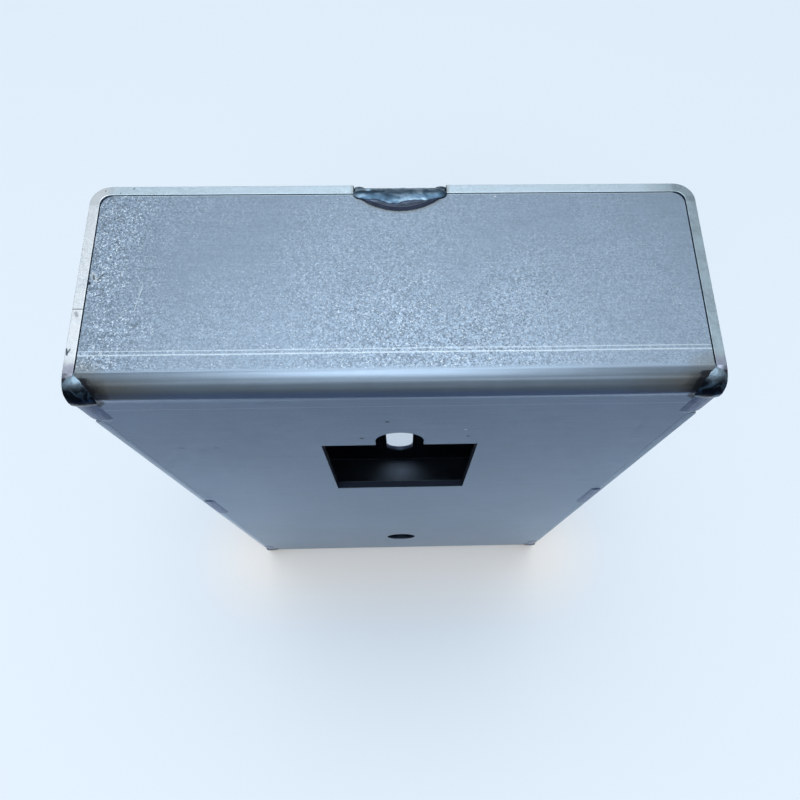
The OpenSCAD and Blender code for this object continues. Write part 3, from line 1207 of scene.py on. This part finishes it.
@dataclass
class EndWeld(WeldBead):
    """The D-shaped puddle between an end flap and the edge of the back."""

    reach: float = 6.2
    fringe: float = 0.05
    ridge_in: float = 2.5
    ridge_half: float = 2.05
    lumps: int = 12
    lump_radii: Span = (2.3, 0.88)
    fall_in: float = 1.8
    fall: float = 0.5
    swell_at: float = 0.42
    swell_by: float = 0.45
    swell_spread: float = 0.09
    crater_in: Place = (2.9, 1.3, 0.55)
    crater_radii: Place = (1.2, 0.6, 0.62)
    rim_in: Place = (1.0, 1.35, 0.8)
    rim_radii: Place = (1.5, 1.9, 0.6)

    def shape(self) -> bpy.types.Object:
        """Builds the wavy ridge from overlapping lumps on a thin D-shaped fringe."""
        form = self.form
        back = form.back_y
        piece = Bench.join([self.plate(), *self.ridge(), *self.rims()])
        Bench.modify(piece, "REMESH", mode="VOXEL", voxel_size=self.grid)
        Bench.modify(piece, "SMOOTH", factor=0.5, iterations=14)
        Ripple.clouds(piece, 2.4, 0.10)
        along, behind, above = self.crater_in
        crater = Bench.ball((self.low.x + along, back - behind, form.high_z + above), self.crater_radii)
        Bench.take_away(piece, crater)
        Bench.cut(piece, (0, back - 0.02, 0), (0, 1, 0))
        Bench.cut(piece, (0, 0, form.high_z - self.root), (0, 0, -1))
        if self.node.endswith("bottom"):
            Bench.mirror(piece, Side.LEFT, End.BOTTOM, form.mid_z)
        return piece

    def plate(self) -> bpy.types.Object:
        """Makes the thin D-shaped fringe.

        Returns:
            The plate, down to the weld's root.
        """
        form = self.form
        width = self.high.x - self.low.x
        sag = self.reach - form.sheet_t
        plan_r = (width * width / 4 + sag * sag) / (2 * sag)
        centre = ((self.low.x + self.high.x) / 2, form.back_y - self.reach + plan_r, form.high_z - self.root)
        plate = Bench.rod(centre, self.root + self.fringe, plan_r)
        Bench.cut(plate, (self.low.x, 0, 0), (-1, 0, 0))
        Bench.cut(plate, (self.high.x, 0, 0), (1, 0, 0))
        Bench.cut(plate, (0, form.back_y - self.fall_in, form.high_z + self.fringe), (0, self.fall, 1))
        return plate

    def rims(self) -> list[bpy.types.Object]:
        """Raises a narrow rim at each end of the puddle.

        Returns:
            The two rims.
        """
        along, behind, below = self.rim_in
        y = self.form.back_y - behind
        z = self.form.high_z - below
        return [Bench.ball((x, y, z), self.rim_radii) for x in (self.low.x + along, self.high.x - along)]

    def ridge(self) -> list[bpy.types.Object]:
        """Lays the lumps of the ridge, which swells left of its middle and falls to the back.

        Returns:
            The lumps.
        """
        lumps = []
        along, high = self.lump_radii
        for step in range(self.lumps):
            share = (step + 0.5) / self.lumps
            x = self.low.x + 1.0 + share * (self.high.x - self.low.x - 2.0)
            swell = self.swell_by * math.exp(-((share - self.swell_at) / self.swell_spread) ** 2)
            bow = 0.6 * (2 * share - 1) ** 2
            half = self.ridge_half + swell - bow + 0.12 * math.sin(step * 2.3)
            y = self.form.back_y - self.ridge_in - swell + 0.5 * bow
            lumps.append(Bench.ball((x, y, self.form.high_z - 0.5), (along, half, high)))
        return lumps


@dataclass
class CornerWeld(WeldBead):
    """The ball of weld metal on one front corner."""

    side: Side = Side.LEFT
    end: End = End.TOP
    film: float = 0.4
    skin: float = 0.13
    radius: float = 3.94
    stretch: float = 1.6
    inward: float = 1.8
    crown: float = 0.5
    drip_shift: Place = (0.3, -0.05, -0.9)
    drip_radii: Place = (4.2, 3.65, 3.5)

    def shape(self) -> bpy.types.Object:
        """Melts a ball over the corner, with a drip below it and a flattened side, and ripples its skin."""
        form = self.form
        y = form.front_y + self.radius - self.crown
        centre = Vector((-form.half_width + self.inward, y, form.high_z - form.bend_out))
        ball = Bench.ball(centre, (self.radius * self.stretch, self.radius, self.radius))
        drip = Bench.ball(centre + Vector(self.drip_shift), self.drip_radii)
        for blob in (ball, drip):
            Bench.cut(blob, (-form.half_width - self.skin, 0, 0), (-1, 0, 0))
        piece = Bench.join([ball, drip])
        Bench.modify(piece, "REMESH", mode="VOXEL", voxel_size=self.grid)
        Bench.modify(piece, "SMOOTH", factor=0.5, iterations=8)
        Ripple.clouds(piece, 1.9, 0.14)
        self.seat(piece)
        Bench.mirror(piece, self.side, self.end, form.mid_z)
        return piece


@dataclass
class SeamWeld(WeldBead):
    """The ground bead on the front seam beside one corner."""

    side: Side = Side.LEFT
    end: End = End.TOP
    film: float = -0.02
    radius: float = 6.0
    inward: float = 2.4
    crown: float = 0.30
    ground: float = 0.26
    length: float = 13.5

    def shape(self) -> bpy.types.Object:
        """Lays a round bead along the seam and grinds it nearly flat."""
        form = self.form
        chord = math.sqrt(self.crown * (2 * self.radius - self.crown))
        y = form.front_y + self.radius - self.crown
        centre = Vector((-form.half_width + self.inward, y, form.high_z - self.length + chord))
        rod = Bench.rod(centre, form.high_z - form.bend_out - centre.z + 1.0, self.radius)
        tip = Bench.ball(centre, (self.radius, self.radius, self.radius))
        piece = Bench.join([rod, tip])
        Bench.modify(piece, "REMESH", mode="VOXEL", voxel_size=self.grid)
        Ripple.clouds(piece, 0.9, 0.05)
        self.seat(piece)
        Bench.cut(piece, (0, 0, form.high_z - form.bend_out), (0, 0, 1))
        Bench.cut(piece, (0, form.front_y - self.ground, 0), (0, -1, 0))
        Bench.mirror(piece, self.side, self.end, form.mid_z)
        return piece


@dataclass
class MiddleWeld(WeldBead):
    """The shallow bead half-way along one front seam."""

    lumps: int = 9
    lump_in: float = 1.9
    lump_radii: Place = (1.8, 0.6, 1.75)

    def shape(self) -> bpy.types.Object:
        """Lays a row of overlapping lumps along the seam."""
        form = self.form
        x = (self.low.x + self.high.x) / 2
        run = self.high.z - self.low.z - 2 * self.lump_in
        lumps = []
        for step in range(self.lumps):
            z = self.low.z + self.lump_in + run * step / (self.lumps - 1)
            lumps.append(Bench.ball((x, form.front_y + 0.2, z), self.lump_radii))
        piece = Bench.join(lumps)
        Bench.modify(piece, "REMESH", mode="VOXEL", voxel_size=self.grid)
        Bench.modify(piece, "SMOOTH", factor=0.5, iterations=2)
        Ripple.clouds(piece, 0.8, 0.08)
        Bench.cut(piece, (0, form.front_y + 0.5, 0), (0, 1, 0))
        return piece


@dataclass
class FoldedSheet:
    """One of the two sheets, which keeps its solid and gets its finish and softened edges."""

    node: str
    finish: SheetSteel
    edge_radius: float = 0.14

    def dress(self, sheet: bpy.types.Object) -> None:
        """Gives the sheet its material and rounds its edges as a cut edge is.

        Args:
            sheet: The sheet's own object in the frame.
        """
        material = self.finish.material(self.node)
        for slot in sheet.material_slots:
            slot.material = material
        weld = sheet.modifiers.new("merge", "WELD")
        weld.merge_threshold = 0.001 * MM
        bevel = sheet.modifiers.new("edge", "BEVEL")
        bevel.width = self.edge_radius * MM
        bevel.segments = 2
        bevel.limit_method = "ANGLE"
        bevel.angle_limit = math.radians(50)
        bevel.harden_normals = True
        LOG.info("%s dressed", self.node)


@dataclass
class PhotoCamera:
    """The camera at the photograph's place, in millimetres and degrees."""

    place: Place = (0.023, -66.392, 274.101)
    turn: Place = (17.0742, -0.8951, -1.2551)
    lens: float = 27.072
    sensor: float = 36.0
    shift: Span = (-0.016186, 0.08137)

    def set_up(self) -> None:
        """Adds the camera and makes it the scene's own."""
        data = bpy.data.cameras.new("photo_camera")
        data.lens = self.lens
        data.sensor_width = self.sensor
        data.shift_x, data.shift_y = self.shift
        data.clip_start = 0.005
        data.clip_end = 50
        camera = bpy.data.objects.new("photo_camera", data)
        camera.location = Vector(self.place) * MM
        camera.rotation_euler = [math.radians(angle) for angle in self.turn]
        bpy.context.scene.collection.objects.link(camera)
        bpy.context.scene.camera = camera


@dataclass
class Studio:
    """A pale floor under a soft dome, with a warm lamp and a dark card in front of the box."""

    floor_size: float = 12.0
    floor_colour: Colour = (0.77, 0.85, 0.94)
    painted_bounce: Colour = (0.91, 0.91, 0.91)
    dome_colour: Colour = (0.93, 0.97, 1.0)
    wall: float = 0.45
    card_colour: Colour = (0.13, 0.16, 0.24)
    card_start: float = -0.16
    card_size: Span = (2.4, 0.9)
    horizon: float = 0.22
    rise: float = 0.34
    window: float = 2.7
    window_focus: float = 9.5
    window_aim: Place = (-0.02, 0.14, 0.985)
    lamp_place: Place = (-0.15, -0.55, 0.95)
    lamp_aim: Place = (0.0, 0.0, 0.09)
    lamp_size: Span = (0.6, 0.6)
    lamp_colour: Colour = (1.0, 0.96, 0.92)
    lamp_power: float = 2.2
    foot_half: float = 60.0
    foot_front: float = 22.0
    painted_bounce_reach: Span = (40.0, 2.0)

    @staticmethod
    def plane(name: str, size: Sequence[float], centre: Sequence[float]) -> bpy.types.Object:
        """Lays a flat piece of the stage.

        Args:
            name: Its name.
            size: Its width and depth in metres.
            centre: Its centre in metres.

        Returns:
            The new object.
        """
        bpy.ops.object.select_all(action="DESELECT")
        bpy.ops.mesh.primitive_plane_add(size=1, location=centre, scale=(*size, 1))
        bpy.ops.object.transform_apply()
        plane = bpy.context.object
        plane.name = name
        return plane

    @staticmethod
    def paper(nodes: NodeWriter, colour: Value) -> None:
        """Ends a material with matt paper that is open from below.

        Args:
            nodes: The material's writer.
            colour: The paper's colour.
        """
        paper = nodes.add("ShaderNodeBsdfDiffuse", {"Color": nodes.solid(colour)})
        clear = nodes.add("ShaderNodeBsdfTransparent")
        below = nodes.add("ShaderNodeNewGeometry").outputs["Backfacing"]
        surface = nodes.add("ShaderNodeMixShader", {0: below, 1: paper.outputs[0], 2: clear.outputs[0]})
        nodes.add("ShaderNodeOutputMaterial", {"Surface": surface.outputs[0]})

    def floor(self) -> None:
        """Lays the floor, a little warmer and lighter close to the foot of the front, a painted pool of light that
        the steel throws there.
        """
        floor = self.plane("floor", (self.floor_size, self.floor_size), (0, 0, 0))
        material = bpy.data.materials.new("pale_floor")
        material.use_nodes = True
        nodes = NodeWriter(material.node_tree)
        x, y, _ = nodes.parts(nodes.place())
        beside = nodes.math("MAXIMUM", nodes.math("SUBTRACT", nodes.math("ABSOLUTE", x), self.foot_half), 0.0)
        before = nodes.math("ABSOLUTE", nodes.math("ADD", y, self.foot_front))
        away = nodes.vector("LENGTH", nodes.point(beside, before, 0.0))
        # Painted light: a warmer, lighter patch of floor at the foot of the front.
        warm = nodes.ease(away, *self.painted_bounce_reach)
        self.paper(nodes, nodes.blend(warm, self.floor_colour, self.painted_bounce))
        floor.data.materials.append(material)

    def card(self) -> None:
        """Lays a dark card on the floor in front, which only the steel reflects: painted shade in the steel's
        reflections, standing for the shaded floor and room in front of the box.
        """
        depth = self.card_size[1]
        card = self.plane("card", self.card_size, (0, self.card_start - depth / 2, MM))
        material = bpy.data.materials.new("dark_card")
        material.use_nodes = True
        self.paper(NodeWriter(material.node_tree), self.card_colour)
        card.data.materials.append(material)
        card.visible_camera = False
        card.visible_diffuse = False
        card.visible_shadow = False

    def sky(self) -> None:
        """Lights the room from a dome with a wide, soft window overhead and a pale wall behind the box."""
        world = bpy.data.worlds.new("studio")
        bpy.context.scene.world = world
        world.use_nodes = True
        nodes = NodeWriter(world.node_tree)
        direction = nodes.add("ShaderNodeTexCoord").outputs["Generated"]
        _, back, height = nodes.parts(direction)
        up = nodes.math("MAXIMUM", height, 0.0)
        room = nodes.math("MULTIPLY_ADD", up, self.rise, self.horizon)
        behind = nodes.math("MULTIPLY", nodes.ease(back, -0.5, 0.1), nodes.ease(up, 0.6, 0.0))
        room = nodes.math("MULTIPLY_ADD", behind, self.wall, room)
        aim = tuple(Vector(self.window_aim).normalized())
        toward = nodes.math("MAXIMUM", nodes.vector("DOT_PRODUCT", direction, aim), 0.0)
        window = nodes.math("POWER", toward, self.window_focus)
        light = nodes.math("MULTIPLY_ADD", window, self.window, room)
        dome = nodes.add("ShaderNodeBackground", {"Color": nodes.solid(self.dome_colour), "Strength": light})
        nodes.add("ShaderNodeOutputWorld", {"Surface": dome.outputs[0]})

    def softbox(self) -> None:
        """Hangs a soft, warm lamp aimed at the middle of the box, which the steel doesn't reflect."""
        lamp = bpy.data.lights.new("softbox", "AREA")
        lamp.shape = "RECTANGLE"
        lamp.size, lamp.size_y = self.lamp_size
        lamp.energy = self.lamp_power
        lamp.color = self.lamp_colour
        holder = bpy.data.objects.new("softbox", lamp)
        holder.location = self.lamp_place
        toward = Vector(self.lamp_aim) - Vector(self.lamp_place)
        holder.rotation_euler = toward.to_track_quat("-Z", "Y").to_euler()
        holder.visible_glossy = False
        bpy.context.scene.collection.objects.link(holder)

    def set_up(self) -> None:
        """Lays the floor and the card and hangs the light."""
        self.floor()
        self.card()
        self.sky()
        self.softbox()


class LockBox:
    """The whole lock box: two folded sheets and the welds that hold them."""

    def __init__(self, frame: dict[str, Any]) -> None:
        """Keeps the frame and reads the box's planes from it.
        """
        self.frame = frame
        self.form = BoxForm.from_frame()

    def sheets(self) -> list[FoldedSheet]:
        """Lists the two sheets."""
        return [
            FoldedSheet("body_channel", ChannelSteel(self.form)),
            FoldedSheet("cover", CoverSteel(self.form)),
        ]

    def corner_welds(self) -> list[WeldBead]:
        """Lists the four balls on the front corners."""
        return [
            CornerWeld(f"weld_corner_{end.name.lower()}_{side.name.lower()}", self.form, side=side, end=end)
            for end in End for side in Side
        ]

    def ground_welds(self) -> list[WeldBead]:
        """Lists the beads along the front seams."""
        beads: list[WeldBead] = [
            SeamWeld(f"weld_seam_{end.name.lower()}_{side.name.lower()}", self.form, side=side, end=end)
            for end in End for side in Side
        ]
        return beads + [MiddleWeld(f"weld_mid_{side.name.lower()}", self.form) for side in Side]

    def build(self) -> None:
        """Dresses the sheets and builds the welds."""
        for sheet in self.sheets():
            sheet.dress(self.frame["nodes"][sheet.node])
        puddle = PuddleMetal(self.form).material("puddle_metal")
        for end in End:
            EndWeld(f"weld_end_{end.name.lower()}", self.form).build(puddle)
        ball = BallMetal(self.form).material("ball_metal")
        for bead in self.corner_welds():
            bead.build(ball)
        ground = GroundMetal(self.form).material("ground_metal")
        for bead in self.ground_welds():
            bead.build(ground)


def main() -> None:
    """Loads the frame, dresses it and sets up the studio."""
    logging.basicConfig(level=logging.INFO, format="%(name)s: %(message)s")
    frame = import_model()
    bpy.context.scene.view_settings.view_transform = "Standard"
    PhotoCamera().set_up()
    Studio().set_up()
    LockBox(frame).build()


if __name__ == "__main__":
    main()
